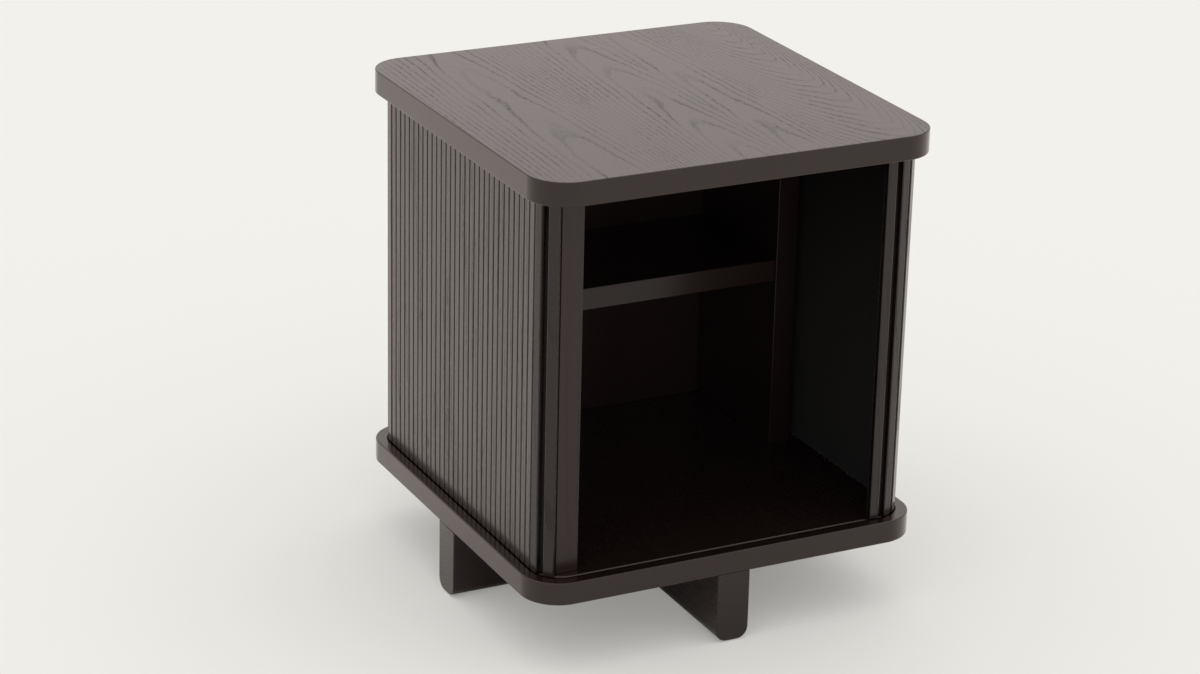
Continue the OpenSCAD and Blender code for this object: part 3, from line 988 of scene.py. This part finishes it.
def lay_floor(scene):
    """A plain pale floor of matte painted board. As seen, part of its brightness is its own, so
    that it shows pale and keeps only a soft shadow of the table. A gloss that is close over the
    floor, as on the legs, shows the floor's shadow in full."""
    bm = bmesh.new()
    bmesh.ops.create_grid(bm, x_segments=4, y_segments=4, size=FLOOR_REACH)
    mesh = bpy.data.meshes.new("studio_floor")
    bm.to_mesh(mesh)
    bm.free()
    studio, colour = scene.bedside_studio, linear(scene.bedside_stain.floor)
    made, tree = new_material("matte_painted_board")
    place = add(tree, "ShaderNodeTexCoord").outputs["Object"]
    nap = add(tree, "ShaderNodeTexNoise", {"Vector": place, "Scale": 0.9 / MM, "Detail": 2.0})
    rough = add(tree, "ShaderNodeMapRange", {"Value": nap, "To Min": 0.85, "To Max": 0.95})
    surface = add(tree, "ShaderNodeBsdfPrincipled", {
        "Base Color": colour, "Roughness": rough, "Specular IOR Level": 0.2})
    path = add(tree, "ShaderNodeLightPath").outputs
    far = add(
        tree, "ShaderNodeMapRange",
        {"Value": path["Ray Length"], "From Min": NEAR_GLOSS, "From Max": FAR_GLOSS},
        interpolation_type="SMOOTHSTEP")
    seen = add(tree, "ShaderNodeMath", {0: path["Is Glossy Ray"], 1: far}, operation="MULTIPLY")
    seen = add(tree, "ShaderNodeMath", {0: path["Is Camera Ray"], 1: seen}, operation="MAXIMUM")
    seen = add(tree, "ShaderNodeMath", {0: seen, 1: path["Is Transmission Ray"]}, operation="MAXIMUM")
    share = add(tree, "ShaderNodeMath", {0: seen, 1: studio.floor_glow}, operation="MULTIPLY")
    own_light = add(tree, "ShaderNodeEmission", {"Color": colour, "Strength": 1.0})
    mixed = add(tree, "ShaderNodeMixShader", {0: share, 1: surface, 2: own_light})
    add(tree, "ShaderNodeOutputMaterial", {"Surface": mixed})
    mesh.materials.append(made)
    floor = bpy.data.objects.new("studio_floor", mesh)
    scene.collection.objects.link(floor)


def light_world(scene, studio):
    """Soft white light from all round: strongest from above, weakest from behind the table."""
    world = bpy.data.worlds.new("white_room")
    world.use_nodes = True
    tree = world.node_tree
    tree.nodes.clear()
    direction = add(tree, "ShaderNodeTexCoord").outputs["Generated"]
    _, backward, upward = add(tree, "ShaderNodeSeparateXYZ", {0: direction}).outputs
    level = add(
        tree, "ShaderNodeMapRange", {
            "Value": backward, "From Min": -0.8, "From Max": 0.8,
            "To Min": studio.sky_front, "To Max": studio.sky_back},
        interpolation_type="SMOOTHSTEP")
    bright = add(
        tree, "ShaderNodeMapRange", {
            "Value": upward, "From Min": 0.4, "From Max": 0.9,
            "To Min": level, "To Max": studio.sky_top},
        interpolation_type="SMOOTHSTEP")
    light = add(tree, "ShaderNodeBackground", {"Color": SKY_COLOUR, "Strength": bright})
    add(tree, "ShaderNodeOutputWorld", {"Surface": light})
    scene.world = world


def softbox(scene, name, power, size, place, target):
    """A square area lamp that looks at a target."""
    lamp = bpy.data.lights.new(name, "AREA")
    lamp.energy, lamp.size = power, size
    holder = bpy.data.objects.new(name, lamp)
    holder.location = place
    holder.rotation_euler = (Vector(target) - Vector(place)).to_track_quat("-Z", "Y").to_euler()
    scene.collection.objects.link(holder)


def place_camera(scene, studio):
    """The camera at the photograph's place, angle and focal length."""
    level = math.cos(studio.elevation)
    sight = Vector((
        math.sin(studio.azimuth) * level,
        math.cos(studio.azimuth) * level,
        -math.sin(studio.elevation),
    ))
    turn = sight.to_track_quat("-Z", "Y") @ Quaternion((0, 0, 1), studio.roll)
    camera = bpy.data.cameras.new("photo_camera")
    camera.sensor_width, camera.lens = SENSOR_WIDTH, studio.lens
    camera.clip_start, camera.clip_end = CLIP_START, CLIP_END
    holder = bpy.data.objects.new("photo_camera", camera)
    holder.matrix_world = Matrix.LocRotScale(Vector(studio.place), turn, None)
    scene.collection.objects.link(holder)
    scene.camera = holder


class BEDSIDE_PT_sidebar(bpy.types.Panel):
    """Lists the sizes and stains, and a button for each group of pieces"""

    bl_idname = "BEDSIDE_PT_sidebar"
    bl_label = "Bedside table"
    bl_space_type = "VIEW_3D"
    bl_region_type = "UI"
    bl_category = "Bedside table"

    def draw(self, context):
        for name, _ in PROPERTY_GROUPS:
            group = getattr(context.scene, name)
            for prop in group.bl_rna.properties:
                if prop.identifier in type(group).__annotations__:
                    self.layout.prop(group, prop.identifier)
        for operator in OPERATORS:
            self.layout.operator(operator.bl_idname)


PROPERTY_GROUPS = (
    ("bedside_panel", PanelSizes),
    ("bedside_board", BoardSizes),
    ("bedside_cloth", ClothSizes),
    ("bedside_stain", Stains),
    ("bedside_studio", StudioSettings),
)

OPERATORS = (
    BEDSIDE_OT_panels,
    BEDSIDE_OT_legs,
    BEDSIDE_OT_carcase,
    BEDSIDE_OT_curtains,
    BEDSIDE_OT_cloths,
    BEDSIDE_OT_fixings,
    BEDSIDE_OT_studio,
)


def register():
    for name, group in PROPERTY_GROUPS:
        bpy.utils.register_class(group)
        setattr(bpy.types.Scene, name, PointerProperty(type=group))
    for operator in OPERATORS:
        bpy.utils.register_class(operator)
    bpy.utils.register_class(BEDSIDE_PT_sidebar)


def unregister():
    bpy.utils.unregister_class(BEDSIDE_PT_sidebar)
    for operator in reversed(OPERATORS):
        bpy.utils.unregister_class(operator)
    for name, group in reversed(PROPERTY_GROUPS):
        delattr(bpy.types.Scene, name)
        bpy.utils.unregister_class(group)


def main():
    register()
    bpy.ops.bedside.panels()
    bpy.ops.bedside.legs()
    bpy.ops.bedside.carcase()
    bpy.ops.bedside.curtains()
    bpy.ops.bedside.cloths()
    bpy.ops.bedside.fixings()
    bpy.ops.bedside.studio()


if __name__ == "__main__":
    main()
